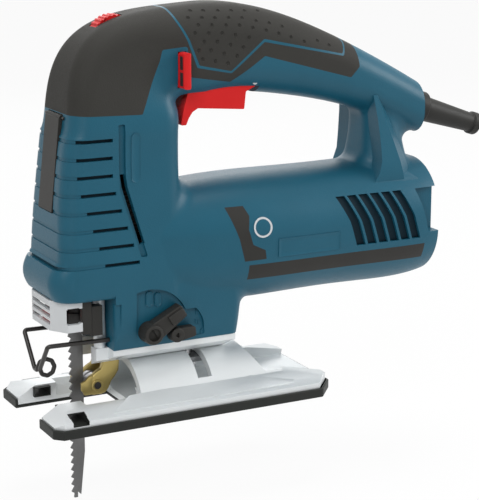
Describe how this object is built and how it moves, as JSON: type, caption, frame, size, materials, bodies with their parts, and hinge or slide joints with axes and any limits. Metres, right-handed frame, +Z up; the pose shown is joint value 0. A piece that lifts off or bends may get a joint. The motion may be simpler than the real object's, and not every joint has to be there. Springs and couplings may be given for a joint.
{
  "type": "jigsaw power tool",
  "caption": "Corded jigsaw with a D-shaped top handle, tilting shoe, reciprocating toothed blade, roller guide, guard wire and a front blade-release lever.",
  "frame": {"origin": "on the underside of the overshoe, under the bevel axis of the shoe", "axes": "+Z up out of the work, -X towards the blade end, -Y the side with the two levers"},
  "size_m": [0.2725, 0.0802, 0.2539],
  "materials": {
    "blue_shell": "fine satin moulding",
    "dark_rubber": "dimpled soft grip",
    "dark_plastic": "matt",
    "black_tray": "matt",
    "grey_plastic": "satin",
    "red_plastic": "satin",
    "sleeve_rubber": "matt",
    "alloy": "fine cast, satin",
    "yellow_metal": "dull plated",
    "dark_wire": "black oxide",
    "copper": "enamelled wire and bars",
    "steel": "ground",
    "blade_steel": "ground, set teeth"
  },
  "bodies": {
    "shoe": {"overshoe": "black_tray", "shoe_plate": "alloy"},
    "housing": {"left_housing": "blue_shell", "right_housing": "blue_shell", "left_nose_pad": "dark_rubber", "right_nose_pad": "dark_rubber", "left_grip_pad": "dark_rubber", "right_grip_pad": "dark_rubber", "left_side_strip": "dark_plastic", "right_side_strip": "dark_plastic", "housing_screws": "steel", "gear_case": "alloy", "saddle_plate": "alloy", "front_grille": "grey_plastic", "grille_clips": "dark_plastic", "release_tab": "red_plastic", "wire_guard": "dark_wire", "stator": "steel", "stator_coils": "copper", "brush_holders": "dark_plastic", "carbon_brushes": "dark_plastic", "rear_bearing": "steel", "front_bearing": "steel", "gear_axle": "steel", "upper_guide": "yellow_metal", "lower_guide": "yellow_metal", "fork_pivot": "steel", "switch_module": "dark_plastic", "speed_module": "dark_plastic", "strain_relief": "sleeve_rubber", "trigger_pin": "steel", "dial_pin": "steel", "ejector_pin": "steel", "clamp_bar": "steel", "clamp_screw": "steel"},
    "plunger": {"plunger": "steel", "blade_clamp": "steel", "clamp_sleeve": "steel", "blade": "blade_steel"},
    "armature": {"armature_shaft": "steel", "armature_core": "steel", "armature_windings": "copper", "commutator": "copper", "fan": "dark_plastic"},
    "crank": {"crank_gear": "steel", "crank_pin": "steel", "counterweight": "steel"},
    "fork": {"roller_fork": "yellow_metal", "roller_pin": "steel"},
    "roller": {"guide_roller": "steel"},
    "orbit": {"orbit_lever": "dark_plastic", "orbit_cam": "steel"},
    "guide": {"guide_lever": "dark_plastic", "guide_lever_shaft": "steel"},
    "trigger": {"trigger": "red_plastic"},
    "lock": {"lock_button": "red_plastic"},
    "dial": {"speed_dial": "red_plastic"},
    "ejector": {"ejector_lever": "dark_plastic"}
  },
  "joints": [
    {"name": "shoe_tilt", "type": "hinge", "parent": "shoe", "child": "housing", "pos_m": [0, 0, 0], "axis": [1, 0, 0], "range_deg": [-45, 45]},
    {"name": "plunger_stroke", "type": "slide", "parent": "housing", "child": "plunger", "axis": [0, 0, 1], "range_m": [-0.014, 0.012]},
    {"name": "armature_spin", "type": "hinge", "parent": "housing", "child": "armature", "pos_m": [0, 0, 0.0828], "axis": [1, 0, 0], "continuous": true},
    {"name": "gear_spin", "type": "hinge", "parent": "housing", "child": "crank", "pos_m": [0, 0, 0.1053], "axis": [1, 0, 0], "continuous": true},
    {"name": "fork_swing", "type": "hinge", "parent": "housing", "child": "fork", "pos_m": [-0.032, 0, 0.03], "axis": [0, -1, 0], "range_deg": [0, 4]},
    {"name": "roller_spin", "type": "hinge", "parent": "fork", "child": "roller", "pos_m": [-0.04125, 0, 0.0145], "axis": [0, 1, 0], "continuous": true},
    {"name": "orbit_select", "type": "hinge", "parent": "housing", "child": "orbit", "pos_m": [-0.0051, 0, 0.0417], "axis": [0, -1, 0], "range_deg": [0, 28]},
    {"name": "guide_lever_turn", "type": "hinge", "parent": "housing", "child": "guide", "pos_m": [-0.0196, 0, 0.0444], "axis": [0, -1, 0], "range_deg": [0, 60]},
    {"name": "trigger_pull", "type": "hinge", "parent": "housing", "child": "trigger", "pos_m": [0.0455, 0, 0.166], "axis": [0, 1, 0], "range_deg": [0, 6], "stiffness_Nm_per_rad": 0.3, "springref_deg": -11.46},
    {"name": "lock_slide", "type": "slide", "parent": "housing", "child": "lock", "axis": [0, 1, 0], "range_m": [0, 0.004], "stiffness_N_per_m": 150, "springref_m": -0.004},
    {"name": "dial_turn", "type": "hinge", "parent": "housing", "child": "dial", "pos_m": [-0.0263, 0, 0.1904], "axis": [0, 1, 0], "range_deg": [-120, 120]},
    {"name": "ejector_swing", "type": "hinge", "parent": "housing", "child": "ejector", "pos_m": [-0.0574, 0, 0.154], "axis": [0, 1, 0], "range_deg": [0, 35]}
  ],
  "couplings": [
    {"joint": "gear_spin", "follows": "armature_spin", "ratio": -0.25}
  ]
}
